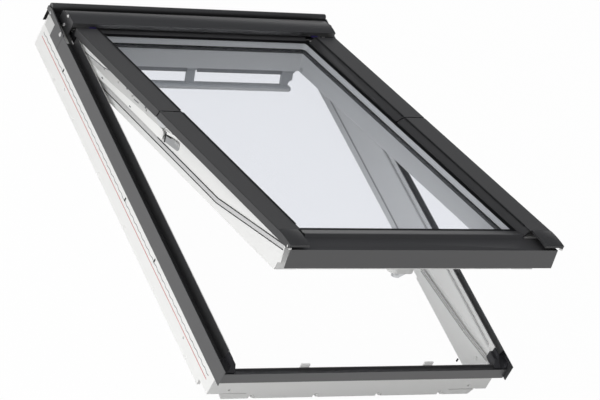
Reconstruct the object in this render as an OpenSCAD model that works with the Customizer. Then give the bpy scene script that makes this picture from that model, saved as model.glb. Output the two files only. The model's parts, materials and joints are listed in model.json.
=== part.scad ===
/* [Frame] */
// Outer width of the frame, across the slope
frame_w = 780; // [550:10:1340]
// Outer length of the frame, along the slope
frame_l = 1180; // [980:10:1600]
// Height of the side cladding's top edge above the room side of the frame
clad_top = 123; // [115:1:135]
// Thickness of the frame side, outer face to the sash rebate
side_wall = 36; // [34:1:50]
// Depth of the frame head along the slope
head_depth = 49; // [40:1:70]
// Depth of the rebate cut into the lower part of the frame side
rebate_step = 4; // [2:0.5:6]
// How far the white frame side stands in under the cladding
shell_inset = 9; // [6:0.5:14]
// How far the white sill stands in under the side cladding's end
sill_inset = 16; // [12:1:17]
// Height of the lip under the frame
lip_h = 17; // [12:1:24]
// Width of the lip under the frame
lip_w = 8; // [5:0.5:12]
// Depth of the cove along the rebate's diagonal step
cove_d = 5; // [3:0.5:6]
// Width of the cove along the rebate's diagonal step
cove_w = 18; // [10:1:24]
// Height of the gutter bed in the frame side
gutter_z = 98; // [92:1:104]
// Height of the ledge beside the upstand
ledge_z = 118; // [112:1:120]
// Width of the ledge beside the upstand
ledge_w = 4.5; // [3:0.5:6]
// Thickness of the white upstand
upstand_t = 2.5; // [1.5:0.5:4]
// How far the upstand rises above the cladding top
upstand_rise = 9; // [5:1:10]

/* [Cladding] */
// Thickness of the folded metal sheet
sheet = 1.5; // [0.8:0.1:2]
// Depth of the cladding on the outer side of the frame
clad_drop = 45; // [30:1:60]
// How far the cladding overhangs the white frame at the sill
clad_overhang = 14; // [5:1:25]
// Depth of the sill cladding's front face
sill_clad_h = 29; // [20:1:34]
// Depth of the sill cladding's top face
sill_clad_d = 12; // [8:1:12]
// Height of the upstand at the back of the sill cladding
sill_lip_h = 6.5; // [4:0.5:8]
// Length of the separate cladding piece at each head corner
clad_end_l = 106; // [80:1:140]

/* [Hood] */
// Half width left free beside the hood
hood_inset = 22; // [15:1:40]
// Radius of the hood's curved top
hood_r = 95; // [80:1:140]
// Height of the hood's crown above the cladding top
hood_crown = 32; // [26:1:45]
// Length of the hood along the slope
hood_l = 60; // [45:1:75]
// Width of the rounded strip at the top end
rear_strip_w = 16; // [10:1:22]

/* [Sash] */
// Gap between the sash rail and the frame rebate
side_gap = 7; // [6:0.5:12]
// Gap between sash head and frame head
head_gap = 11; // [8:1:20]
// Distance from the frame's lower end to the sash rail's end
sill_gap = 27.5; // [26:0.5:40]
// Width of the sash side rail
rail_w = 60; // [52:1:72]
// Depth of the sash, cover top to room face
sash_d = 99.5; // [92:0.5:112]
// Depth of the glass rebate below the cover top
glass_drop = 20; // [16:1:24]
// Width of the ledge that carries the glass
glass_ledge = 17; // [12:1:25]
// Thickness of each pane
pane_t = 4; // [3:0.5:8]
// Cavity between the panes
cavity = 16; // [10:1:20]
// Thickness of the glazing seals
seal_t = 1.5; // [1:0.1:2]
// Depth of the sash head along the slope
sash_head_d = 51; // [44:1:64]
// Depth of the sash sill along the slope
sash_sill_d = 58; // [56:1:80]

/* [Covers] */
// Height of the closed sash covers above the cladding top
cover_rise = 24.5; // [22:0.5:28]
// Gap between cover skirt and frame upstand
cover_gap = 1.5; // [1:0.1:4]
// Width of the cover's flat top
cover_w = 57; // [52:1:60]
// Width of the groove between the cover's flat top and its inner bead
cover_groove = 3; // [2:0.5:4]
// Width of the inner bead that slopes to the glass
bead_w = 12; // [10:0.5:14]
// Height of the cover's outer skirt
skirt_h = 19.5; // [16:0.5:22]
// Thickness of the cover sheet
cover_t = 2; // [1:0.1:2.5]
// Gap between upper and lower cover
cover_split = 4.4; // [4.2:0.1:8]
// Length of the lower cover's curved tip
tip_l = 62; // [50:1:66]
// Drop of the lower cover's curved tip
tip_drop = 7; // [5:0.5:10]
// How far the sill cover reaches past the sash's lower end
front_reach = 38; // [34:1:42]
// Depth of the sill cover's front skirt
front_skirt = 48; // [44:1:52]

/* [Hinges] */
// Angle at which the sash stands open
open_angle = 18.2; // [0:0.1:45]
// Distance from the sash's upper end to the top hinge
hinge_set = 40; // [30:1:60]
// Radius of the top hinge pin
pin_r = 5; // [3:0.5:7]
// Running clearance of pins and guides
run_fit = 0.06; // [0.02:0.01:0.1]
// Height of the hinge arm's web
arm_h = 66; // [50:1:68]
// Thickness of the hinge arm
arm_t = 3.5; // [2.5:0.1:4]
// Middle radius of the curved pivot guide
guide_r = 30; // [24:1:34]
// Width of the curved pivot guide
guide_w = 8; // [5:0.5:10]
// Distance from the sash's upper end to the pivot axis
pivot_set = 496.5; // [420:0.5:520]
// Depth of the pivot axis below the cover top
pivot_drop = 1.2; // [0.6:0.1:1.4]

/* [Handle and control bar] */
// Width of the handle rosette
rosette_w = 66; // [50:1:90]
// Radius of the rosette's round ends
rosette_r = 17; // [12:0.5:20]
// Thickness of the rosette
rosette_t = 14; // [8:1:18]
// Length of the handle lever from its axis
lever_l = 42; // [30:1:80]
// Length of the control bar
bar_l = 540; // [300:4:544]
// Radius of the rod that the control bar turns on
rod_r = 6; // [4:0.5:8]
// Width of the control bar along the slope
bar_w = 28; // [20:1:36]
// Thickness of the control bar
bar_t = 11; // [8:1:14]

/* [Hidden] */
$fn = 96;
tiny = 0.01;
piece_gap = 0.3;
half_w = frame_w / 2;
half_l = frame_l / 2;
white_x = half_w - sheet;
wall_x = half_w - side_wall;
foot_x = wall_x - rebate_step;
ledge_x = wall_x + ledge_w;
upstand_x = ledge_x + upstand_t;
gutter_x = upstand_x + sheet;
white_end = half_l - clad_overhang;
shell_x = white_x - shell_inset;
shell_end = white_end - sill_inset;
lip_x = foot_x - 14;
lip_mitre = 11;
lip_low = -half_l + 75;
deck_t = 2;
bend_far = [384, 77];
bend_near = [160, 47];
bend_end = [44, 25];
rebate_path = [
    [-half_l + bend_far[0], 0], for (b = [bend_far, bend_near, bend_end]) [-half_l + b[0], clad_top - b[1]]
];
head_y = half_l - head_depth;
head_back = half_l - deck_t;
upstand_z = clad_top + upstand_rise;
clad_low = clad_top - clad_drop;
clad_foot = 49;
upstand_low = -half_l + 55;

cover_z = clad_top + cover_rise;
sash_top = head_y - head_gap;
sash_low = -half_l + sill_gap;
rail_x = wall_x - side_gap;
rail_in = rail_x - rail_w;
glass_x = rail_in + glass_ledge;
room_z = cover_z - sash_d;
rail_z = cover_z - skirt_h;
pane_z = cover_z - glass_drop;
unit_t = 2 * pane_t + cavity;
ledge_glass_z = pane_z - unit_t - seal_t;
rail_step = room_z + 26;
rail_toe = room_z + 22;
glass_top = sash_top - sash_head_d + glass_ledge;
glass_low = sash_low + sash_sill_d - glass_ledge;
pane_play = 0.5;

hinge_y = sash_top - hinge_set;
hinge_z = clad_top;
pivot_y = sash_top - pivot_set;
pivot_z = cover_z - pivot_drop;
hinge_free = hinge_y - 20;
hinge_seat = clad_top - 15;
bracket_in = wall_x + 0.2;
bracket_t = ledge_w - 0.4;
eye_r = pin_r + 5.5;

cover_x = gutter_x + cover_gap + cover_t;
cover_in = cover_x - cover_w;
bead_x = cover_in - cover_groove;
slope_in = bead_x - bead_w;
seal_cap = cover_z - glass_drop + seal_t;
cover_top = hinge_y - 15;
upper_cover_low = pivot_y + 0.4;
lower_cover_top = pivot_y + 0.4 - cover_split;
tip_start = sash_low + 17.5;
tip_r = (tip_l * tip_l + tip_drop * tip_drop) / (2 * tip_drop);
tip_angle = asin(tip_l / tip_r);
split_slant = 8;

arm_in = rail_x + 2.5;
arm_out = arm_in + arm_t;
housing_in = rail_x + 1.5;
housing_t = 5;
housing_r = guide_r + guide_w / 2 + 4;
plate_t = 1.3;
guide_d = 3;

skirt_y = sash_low - front_reach;
skirt_top = cover_z - 21.5;
sill_seat = cover_z - 26;
sill_ridge = tip_start + 4;
hood_x = half_w - hood_inset;
hood_front = hinge_y + 6;
hood_back = hood_front + hood_l;
hood_low = clad_top + 17.5;
hood_z = clad_top + hood_crown;
hood_mid = hood_front + 9;
deck_z = clad_top - 9;

handle_y = sash_low + 38;
lever_x = -8;
hub_r = 10;
bar_y = sash_top - 53;
bar_z = room_z - 44;
rod_l = bar_l + 20;
rod_y = sash_top - 44;
rod_z = room_z - 2;
sill_top = clad_top - 19;
sill_step_z = sill_top - sill_clad_h;
sill_face = -white_end - 2;
sill_inner = sash_low - 5.5;
fix_z = lip_h + 12;
fix_r = 3.5;
fix_d = 20;
sill_fix_set = 29;
side_fix_set = 190;
sill_fix_x = wall_x - sill_fix_set;
side_fix_y = half_l - side_fix_set;
clip_r = 8;
clip_pitch = 171;
drip_l = 75;
drip_w = 2;
drip_d = 4;

dark = "#454548";
dark_lit = "#58585b";
white = "#ececec";
black = "#1c1c1e";
steel = "#c4c6c8";
pale = "#d8dade";

// Mirrors a right-hand piece to the left where side is -1
module on_side(side) {
    mirror([side < 0 ? 1 : 0, 0, 0]) children();
}

// Extrudes an X-Z section along Y
module along_y(y0, y1) {
    translate([0, y1, 0]) rotate([90, 0, 0]) linear_extrude(y1 - y0) children();
}

// Extrudes a Y-Z section along X
module along_x(x0, x1) {
    translate([x0, 0, 0]) rotate([90, 0, 90]) linear_extrude(x1 - x0) children();
}

// Turns a piece drawn with the sash closed to the open rest pose
module opened() {
    translate([0, hinge_y, hinge_z]) rotate([-open_angle, 0, 0]) translate([0, -hinge_y, -hinge_z])
        children();
}

// Y-Z sector of a ring about the pivot axis
module pivot_ring(r0, r1, a0, a1) {
    translate([pivot_y, pivot_z]) intersection() {
        difference() {
            circle(r1);
            circle(r0);
        }
        polygon([[0, 0], for (k = [0:4]) let (a = a0 + (a1 - a0) * k / 4) 2 * r1 * [cos(a), sin(a)]]);
    }
}

// Y-Z region above the stepped line on the frame side
module rebate_region() {
    low = rebate_path[3];
    polygon([
        [head_y, -tiny], rebate_path[0] - [0, tiny], rebate_path[1], rebate_path[2], low,
        [low[0], upstand_z + 1], [head_y, upstand_z + 1]
    ]);
}

// Cove cut into the frame side along one stretch of the stepped line
module rebate_cove(from, to) {
    run = to - from;
    translate([wall_x - tiny, from[0], from[1]]) rotate([atan2(run[1], run[0]), 0, 0])
        along_y(0, norm(run)) polygon([[0, 0], [cove_d, 0], [0, -cove_w]]);
}

// Clears the upstand where the hinge arm's eye and the cover's upper end turn
module hinge_clearance(z) {
    translate([foot_x - 1, hinge_free, z]) cube([gutter_x - foot_x + 2, half_l, clad_top]);
}

module frame_side(side) {
    corner_low = half_l - clad_end_l;
    corner_top = half_l - 20;
    color(white) on_side(side) difference() {
        union() {
            along_y(-shell_end, head_back) polygon([
                [foot_x, lip_h], [shell_x, lip_h], [shell_x, gutter_z], [upstand_x, gutter_z],
                [upstand_x, upstand_z], [ledge_x, upstand_z], [ledge_x, ledge_z], [foot_x, ledge_z]
            ]);
            along_y(lip_low, head_back) translate([shell_x - lip_w, 0]) square([lip_w, lip_h + 1]);
            along_y(corner_low, corner_top) translate([shell_x - 1, clad_low + 2])
                square([shell_inset + 1, gutter_z - clad_low - 2]);
        }
        along_x(foot_x - 1, wall_x) rebate_region();
        rebate_cove(rebate_path[1], rebate_path[2]);
        rebate_cove(rebate_path[2], rebate_path[3]);
        hinge_clearance(hinge_seat);
        translate([foot_x - 1, -half_l, gutter_z]) cube([side_wall, upstand_low + half_l, clad_top]);
        for (y = [-side_fix_y, side_fix_y])
            translate([shell_x + tiny, y, fix_z]) rotate([0, -90, 0]) cylinder(r = fix_r, h = fix_d / 2);
    }
}

module frame_head() {
    color(white) along_x(-foot_x, foot_x) {
        translate([head_y, lip_h]) square([head_back - head_y, deck_z - lip_h]);
        translate([head_back - lip_w, 0]) square([lip_w, lip_h + 1]);
    }
}

// White sill with a stepped inner side, clip notches, a lip below and a drip groove at each end
module frame_sill() {
    front = -shell_end;
    toe = sill_inner + 23;
    shelf = sill_inner + 11;
    shelf_z = clad_top - 55;
    shelf_h = 16;
    cant = 12;
    heel = 4;
    color(white) difference() {
        union() {
            along_x(-foot_x, foot_x) polygon([
                [front, lip_h], [front, sill_step_z - front + sill_face], [sill_face, sill_step_z],
                [sill_face, sill_top - cover_t], [sill_inner, sill_top - cover_t], [sill_inner, shelf_z + cant],
                [shelf, shelf_z], [shelf, shelf_z - shelf_h], [toe - heel, shelf_z - shelf_h - heel], [toe, lip_h]
            ]);
            along_y(front, front + lip_w) polygon([
                [-lip_x, 0], [lip_x, 0], [lip_x + lip_mitre, lip_h + 1], [-lip_x - lip_mitre, lip_h + 1]
            ]);
        }
        for (k = [-1.5:1:1.5]) translate([k * clip_pitch, front - tiny, clip_r / 2]) rotate([-90, 0, 0])
            cylinder(r = clip_r, h = lip_w - 2);
        for (side = [-1, 1]) on_side(side) {
            translate([sill_fix_x, front - tiny, fix_z]) rotate([-90, 0, 0]) cylinder(r = fix_r, h = fix_d / 2);
            translate([foot_x - drip_l, front - 1, lip_h - 1]) cube([drip_l + 1, drip_d + 1, drip_w]);
        }
    }
}

module side_cladding(side) {
    color(dark) on_side(side) difference() {
        along_y(-half_l, half_l - clad_end_l) polygon([
            [half_w, clad_low], [half_w, clad_top], [white_x, clad_top], [white_x, gutter_z + sheet],
            [gutter_x, gutter_z + sheet], [gutter_x, upstand_z + sheet],
            [upstand_x, upstand_z + sheet], [upstand_x, gutter_z],
            [white_x, gutter_z], [white_x, clad_low]
        ]);
        hinge_clearance(hinge_seat);
        translate([foot_x, -half_l - 1, gutter_z + sheet])
            cube([white_x - foot_x, upstand_low + half_l + 1, clad_top]);
        translate([foot_x, -half_l - 1, clad_low - 1]) cube([white_x - foot_x, clad_overhang + 1, clad_top]);
    }
}

module sill_cladding() {
    color(dark_lit) {
        along_x(-white_x + piece_gap, white_x - piece_gap) translate([sill_face - cover_t, sill_step_z])
            square([cover_t, sill_clad_h]);
        along_x(-foot_x, foot_x) translate([sill_face, sill_top - cover_t])
            square([sill_clad_d - cover_t, cover_t]);
        along_x(-foot_x, foot_x) translate([sill_inner - sheet, sill_top - cover_t])
            square([sheet, cover_t + sill_lip_h]);
    }
}

// Sheet deck over the frame head, with its rear flange turned down
module head_deck() {
    color(black) along_x(-white_x + sheet, white_x - sheet) {
        translate([head_y, deck_z]) square([head_depth, deck_t]);
        translate([half_l - sheet, clad_low]) square([sheet, deck_z - clad_low + tiny]);
    }
}

module rear_strip() {
    strip_h = 13;
    color(dark) along_x(-white_x + sheet, white_x - sheet) {
        translate([half_l - rear_strip_w, deck_z + deck_t]) square([rear_strip_w, strip_h]);
        translate([half_l - rear_strip_w / 2, deck_z + deck_t + strip_h]) circle(rear_strip_w / 2);
    }
}

// Upright cladding piece at each head corner
module cladding_end(side) {
    low = half_l - clad_end_l + 0.5;
    foot = low + clad_foot;
    edge_low = clad_top - 10;
    color(dark_lit) on_side(side) difference() {
        along_x(white_x - sheet, half_w) polygon([
            [low, clad_low], [low, clad_top], [low + 8, clad_top + 2], [half_l - 18, clad_top + 7],
            [half_l, clad_top + 1], [half_l, edge_low], [foot, edge_low], [foot, clad_low]
        ]);
        translate([white_x - 2 * sheet, -half_l, -1]) cube([2 * sheet, frame_l, gutter_z + 1]);
        translate([white_x - 2 * sheet, head_back, -1]) cube([2 * sheet, half_l, deck_z + deck_t + 1]);
    }
}

module hood_section(r) {
    intersection() {
        translate([hood_mid, hood_z - hood_r]) circle(r);
        translate([hood_front, deck_z + deck_t]) square([hood_l, hood_z]);
    }
}

module hood() {
    color(dark) along_x(-hood_x, hood_x) {
        difference() {
            hood_section(hood_r);
            translate([hood_front + cover_t, 0]) difference() {
                translate([hood_mid - hood_front - cover_t, hood_z - hood_r]) circle(hood_r - cover_t);
                translate([hood_l - 2 * cover_t, 0]) square([hood_l, 2 * hood_z]);
                translate([-hood_l, 0]) square([hood_l, 2 * hood_z]);
            }
            translate([hood_front - 1, 0]) square([cover_t + 1 + tiny, hood_low]);
        }
    }
}

// End cap that closes the hood and carries it on the deck
module hood_end(side) {
    color(dark) on_side(side) difference() {
        along_x(hood_x, hood_x + 2.5) hood_section(hood_r);
        for (z = [deck_z + deck_t + 5, hood_low + 9])
            translate([hood_x - 1, hood_front + hood_l / 2, z]) rotate([0, 90, 0]) cylinder(r = 2, h = 5);
    }
}

// Rubber block that closes the gutter's lower end, with a ridge in line with the upstand
module corner_seal(side) {
    bed = gutter_z + sheet;
    step_z = clad_top - 3;
    ridge_z = clad_top + 7;
    low_z = clad_top - 9;
    color(black) on_side(side) difference() {
        along_y(-white_end, upstand_low - piece_gap) polygon([
            [foot_x + 1, bed], [foot_x + 1, step_z], [ledge_x - 0.5, step_z], [ledge_x, ridge_z],
            [gutter_x, ridge_z], [gutter_x + cover_gap, low_z], [white_x - piece_gap, low_z],
            [white_x - piece_gap, bed]
        ]);
        translate([wall_x + 22, -white_end - 1, bed + 14]) rotate([-90, 0, 0]) cylinder(r = 10, h = 100);
        translate([foot_x, -white_end - tiny, bed + 6]) rotate([50, 0, 0]) cube([100, 40, 60]);
    }
}

module hinge_bracket(side) {
    color(steel) on_side(side) {
        along_x(bracket_in, bracket_in + bracket_t) difference() {
            union() {
                translate([hinge_y, hinge_z]) circle(eye_r);
                translate([hinge_y - eye_r, hinge_seat]) square([2 * eye_r, hinge_z - hinge_seat]);
                translate([hinge_y - eye_r - 8, hinge_seat]) square([2 * eye_r + 24, 7]);
            }
            translate([hinge_y + eye_r + 9, hinge_seat + 3.5]) circle(1.6);
        }
        translate([rail_x + 0.8, hinge_y, hinge_z]) rotate([0, 90, 0])
            cylinder(r = pin_r, h = bracket_in - rail_x);
    }
}

// Two keepers on the sill's inner face that the sash's lock catches
module sill_keepers() {
    keeper = [24, 4, 24];
    keeper_x = 167;
    keeper_z = sill_top + sill_lip_h + 9 - keeper[2];
    screw_r = 2;
    color(white) for (side = [-1, 1])
        translate([side * keeper_x - keeper[0] / 2, sill_inner, keeper_z]) difference() {
            cube(keeper);
            translate([keeper[0] / 2, -1, keeper[2] / 2]) rotate([-90, 0, 0])
                cylinder(r = screw_r, h = keeper[1] + 2);
        }
}

// Domed rivets that hold the corner pieces of the cladding
module cladding_rivets() {
    color(steel) for (side = [-1, 1]) on_side(side)
        for (y = [half_l - clad_end_l + 13, half_l - 20])
            translate([half_w, y, clad_top - 5]) rotate([0, 90, 0]) intersection() {
                cylinder(r = 4.5, h = 2);
                translate([0, 0, -4.5]) sphere(6);
            }
}

module corner_plate(side) {
    plate = [0.8, 36, 33];
    color(pale) on_side(side) translate([white_x, half_l - clad_end_l + clad_foot + 1, clad_low + 1]) cube(plate);
}

module arm(side) {
    top = cover_z - cover_t;
    color(steel) on_side(side) opened() difference() {
        union() {
            along_x(arm_in, arm_out) {
                polygon([
                    [pivot_y, top], [pivot_y, top - arm_h], [hinge_free - arm_h, top - arm_h],
                    [hinge_free - 4, hinge_z - eye_r], [hinge_free - 4, top]
                ]);
                translate([hinge_y - 30, hinge_z - eye_r]) square([30, 2 * eye_r]);
                translate([hinge_y, hinge_z]) circle(eye_r);
            }
            along_y(pivot_y, hinge_free - 4) translate([arm_out - tiny, top - 2]) square([ledge_w + tiny, 2]);
        }
        translate([0, pivot_y, pivot_z]) rotate([0, 90, 0]) cylinder(r = housing_r, h = frame_w);
        translate([0, hinge_y, hinge_z]) rotate([0, 90, 0]) cylinder(r = pin_r + run_fit, h = frame_w);
        for (k = [1:5]) translate([0, pivot_y + k * (hinge_y - pivot_y) / 6.2, top - arm_h / 2])
            rotate([0, 90, 0]) cylinder(r = 2.5, h = frame_w);
    }
}

// X-Z section of the folded side cover: skirt, flat top, groove and inner bead
module cover_section() {
    under = cover_z - cover_t;
    bead_low = seal_cap + 1;
    polygon([
        [cover_x, cover_z - skirt_h], [cover_x, cover_z - 1], [cover_x - 1, cover_z], [cover_in, cover_z],
        [cover_in - 0.5, under - 1], [bead_x + 0.5, under - 1], [bead_x, cover_z - 1], [bead_x - 1.5, under],
        [slope_in + 1.5, bead_low + 4], [slope_in, bead_low + 3], [slope_in, bead_low],
        [slope_in + cover_t, bead_low], [bead_x, under - 4], [cover_in + cover_t, under - 4],
        [cover_in + 2 * cover_t, under], [cover_x - cover_t, under], [cover_x - cover_t, cover_z - skirt_h]
    ]);
}

// Y-Z outline of the cover joint: square on the top, slanting on the skirt
module split_region(y) {
    polygon([
        [y, cover_z + 1], [y, cover_z - cover_t], [y + split_slant, cover_z - skirt_h - 1],
        [y + split_slant, 0], [y - frame_l, 0], [y - frame_l, cover_z + 1]
    ]);
}

module upper_cover(side) {
    color(dark) on_side(side) opened() difference() {
        along_y(upper_cover_low, cover_top) cover_section();
        along_x(0, half_w) split_region(upper_cover_low);
    }
}

module lower_cover(side) {
    color(dark) on_side(side) opened() intersection() {
        along_y(tip_start + piece_gap, lower_cover_top + split_slant) cover_section();
        along_x(0, half_w) split_region(lower_cover_top);
    }
}

// Curved end piece of the lower cover, revolved about an axis far below it, its skirt running out to the tip
module cover_tip(side) {
    tip_t = 6;
    tip_in = cover_in + 6;
    tip_end = tip_start - tip_l;
    nose = [20, 3];
    color(dark) on_side(side) opened() difference() {
        translate([0, tip_start, cover_z - tip_r]) rotate([0, -90, 180])
            rotate_extrude(angle = tip_angle) translate([tip_r, 0]) polygon([
                [0, cover_x], [0, tip_in], [-tip_t, tip_in], [-tip_t, cover_x - cover_t],
                [-skirt_h, cover_x - cover_t], [-skirt_h, cover_x]
            ]);
        along_x(0, half_w) polygon([
            [tip_start + 1, 0], [tip_start + 1, rail_z + tiny], [tip_end + nose[0], rail_z + tiny],
            [tip_end, rail_z + nose[1]], [tip_end - nose[0], rail_z + 2 * nose[1]], [tip_end - nose[0], 0]
        ]);
    }
}

module pivot_housing(side) {
    top = pivot_z - 1.2;
    color(steel) on_side(side) opened() difference() {
        along_x(housing_in, housing_in + housing_t) intersection() {
            translate([pivot_y, pivot_z]) circle(housing_r);
            translate([pivot_y - 2 * housing_r, 0]) square([4 * housing_r, top]);
        }
        along_x(housing_in - 1, housing_in + guide_d)
            pivot_ring(guide_r - guide_w / 2, guide_r + guide_w / 2, 182, 358);
    }
}

module pivot_plate(side) {
    slack = run_fit;
    color(steel) on_side(side) opened() {
        along_x(rail_x, rail_x + plate_t) intersection() {
            pivot_ring(guide_r - guide_w / 2 - 6, housing_r + 14, 300, 355);
            translate([pivot_y, 0]) square([frame_l, pivot_z - 2]);
        }
        along_x(rail_x + plate_t - tiny, housing_in + guide_d - 0.3)
            pivot_ring(guide_r - guide_w / 2 + slack, guide_r + guide_w / 2 - slack, 326, 354);
    }
}

// Y-Z outline of a side rail, cut back at its lower end
module rail_outline() {
    polygon([
        [sash_top, room_z], [sash_top, rail_z], [sill_ridge + 2, rail_z], [sill_ridge + 2, sill_seat],
        [sash_low, sill_seat], [sash_low, rail_step], [sash_low + 11, rail_toe], [sash_low + 18, room_z]
    ]);
}

module sash_side(side) {
    slot_l = 80;
    slot_r = 11;
    color(white) on_side(side) opened() difference() {
        intersection() {
            along_x(rail_in, rail_x) rail_outline();
            along_y(-half_l, half_l) polygon([
                [rail_in, room_z + 3], [rail_in + 3, room_z], [rail_x, room_z], [rail_x, cover_z],
                [glass_x, cover_z], [glass_x, ledge_glass_z], [rail_in, ledge_glass_z]
            ]);
        }
        along_x(rail_x - 4, rail_x + 1) translate([pivot_y - slot_l - 12, rail_z - 38]) {
            translate([slot_r, slot_r]) circle(slot_r);
            translate([slot_l - slot_r, slot_r]) circle(slot_r);
            translate([slot_r, 0]) square([slot_l - 2 * slot_r, 2 * slot_r]);
        }
    }
}

module sash_head() {
    color(white) opened() difference() {
        union() {
            along_x(-rail_in, rail_in) translate([sash_top - sash_head_d, room_z])
                square([sash_head_d, ledge_glass_z - room_z]);
            along_x(-glass_x, glass_x) translate([glass_top, ledge_glass_z])
                square([sash_top - glass_top, rail_z - ledge_glass_z]);
        }
        translate([-rod_l / 2 - 1, rod_y, rod_z]) rotate([0, 90, 0])
            cylinder(r = rod_r + run_fit, h = rod_l + 2);
    }
}

module sash_sill() {
    color(white) opened() {
        along_x(-rail_in, rail_in) polygon([
            [sash_low + sash_sill_d, room_z], [sash_low + sash_sill_d, ledge_glass_z],
            [sash_low, ledge_glass_z], [sash_low, rail_step], [sash_low + 11, rail_toe],
            [sash_low + 18, room_z]
        ]);
        along_x(-glass_x, glass_x) translate([sash_low, ledge_glass_z])
            square([glass_low - sash_low, sill_seat - ledge_glass_z]);
    }
}

// Rectangular pane or ring between two heights, seated in the glass rebate
module glass_plate(z, t, inset) {
    translate([-glass_x + inset, glass_low + inset, z])
        cube([2 * (glass_x - inset), glass_top - glass_low - 2 * inset, t]);
}

module glass_ring(z, t, inset, w) {
    difference() {
        glass_plate(z, t, inset);
        glass_plate(z - 1, t + 2, inset + w);
    }
}

module outer_pane() {
    color(pale, 0.4) opened() glass_plate(pane_z - pane_t, pane_t, pane_play);
}

module inner_pane() {
    color(pale, 0.4) opened() glass_plate(pane_z - unit_t, pane_t, pane_play);
}

// Spacer bar between the panes, bent round at its corners
module pane_spacer() {
    inset = 4;
    bar = 9;
    bend_r = 12;
    half = [glass_x - inset - bar, (glass_top - glass_low) / 2 - inset - bar];
    color(steel) opened() difference() {
        glass_plate(pane_z - unit_t + pane_t, cavity, inset);
        translate([0, (glass_top + glass_low) / 2, ledge_glass_z]) linear_extrude(2 * unit_t) {
            square(2 * half - [2 * bend_r, 0], center = true);
            square(2 * half - [0, 2 * bend_r], center = true);
            for (x = [-1, 1], y = [-1, 1]) translate([x * (half[0] - bend_r), y * (half[1] - bend_r)])
                circle(bend_r);
        }
    }
}

module outer_seal() {
    color(black) opened() glass_ring(pane_z, seal_t, pane_play, glass_ledge + 0.5);
}

// Inner seal with a lip turned down over the ledge that carries the glass
module inner_seal() {
    lip_t = 2.2;
    lip_drop = 4.5;
    edge = glass_ledge + piece_gap;
    color(black) opened() {
        glass_ring(ledge_glass_z, seal_t, pane_play, edge + lip_t - pane_play);
        glass_ring(ledge_glass_z - lip_drop, lip_drop + tiny, edge, lip_t);
    }
}

// Cover over the sash head, with a low wide part on the rails
module head_cover() {
    lip = glass_top - 8;
    top = cover_z - 5;
    color(dark) opened() {
        along_x(-slope_in + 1, slope_in - 1) polygon([
            [lip, seal_cap], [lip, seal_cap + 1.5], [lip + 14, top], [sash_top - 1, top],
            [sash_top - 1, rail_z], [glass_top - pane_play, rail_z], [glass_top - pane_play, seal_cap]
        ]);
        along_x(-rail_x, rail_x) translate([glass_top + 6, rail_z]) square([sash_top - glass_top - 7, cover_t]);
    }
}

// Cover over the sash sill: ridge by the glass, flat lower part and front skirt
module sill_cover() {
    lip = glass_low + 6;
    ridge_z = cover_z - 11.5;
    wide_x = ledge_x - 1;
    color(dark) opened() {
        along_x(-slope_in + 1, slope_in - 1) polygon([
            [lip, seal_cap], [lip, seal_cap + 1.5], [sill_ridge, ridge_z], [sill_ridge - 4, ridge_z],
            [sill_ridge - 10, skirt_top + 2], [sill_ridge - 10, sill_seat], [glass_low - 1, sill_seat],
            [glass_low - 1, seal_cap]
        ]);
        along_x(-wide_x, wide_x) polygon([
            [sill_ridge - 5, sill_seat], [sill_ridge - 5, skirt_top + 2], [skirt_y, skirt_top],
            [skirt_y + 4.5, skirt_top - front_skirt], [skirt_y + 6.5, skirt_top - front_skirt],
            [skirt_y + 2.4, skirt_top - cover_t], [sash_low - 4, skirt_top - 1], [sash_low - 4, sill_seat]
        ]);
    }
}

// Two beads on the rail's outer face, straight above and rising to the lower corner
module side_gasket(side) {
    bend = sash_top - 793;
    bead = 2;
    function bead_path(z) = [[sash_top - 6, room_z + z], [bend, room_z + z], [sash_low + 4, room_z + z + 39]];
    color(black) on_side(side) opened() along_x(rail_x, rail_x + 1.6) for (z = [18, 30]) {
        path = bead_path(z);
        polygon([path[0], path[1], path[2], path[2] - [0, bead], path[1] - [0, bead], path[0] - [0, bead]]);
    }
}

module handle_rosette() {
    color(white) opened() translate([0, handle_y, room_z - rosette_t]) difference() {
        union() {
            for (side = [-1, 1]) translate([side * (rosette_w / 2 - rosette_r), 0, 0])
                cylinder(r = rosette_r, h = rosette_t);
            translate([-rosette_w / 2 + rosette_r, -rosette_r, 0])
                cube([rosette_w - 2 * rosette_r, 2 * rosette_r, rosette_t]);
        }
        translate([lever_x, 0, -1]) cylinder(r = hub_r / 2 + run_fit, h = 9);
    }
}

module handle_lever() {
    drop = 13;
    gap = 0.4;
    grip_r = hub_r - 1.5;
    color(steel) opened() translate([lever_x, handle_y, room_z - rosette_t - gap]) {
        translate([0, 0, -drop]) cylinder(r = hub_r, h = drop);
        translate([0, 0, -1]) cylinder(r = hub_r / 2, h = 8);
        translate([0, 0, -drop - 2]) rotate([0, 0, 30]) linear_extrude(drop - 2) {
            translate([0, -grip_r]) square([lever_l - hub_r, 2 * grip_r]);
            translate([lever_l - hub_r, 0]) circle(grip_r);
        }
    }
}

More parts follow.
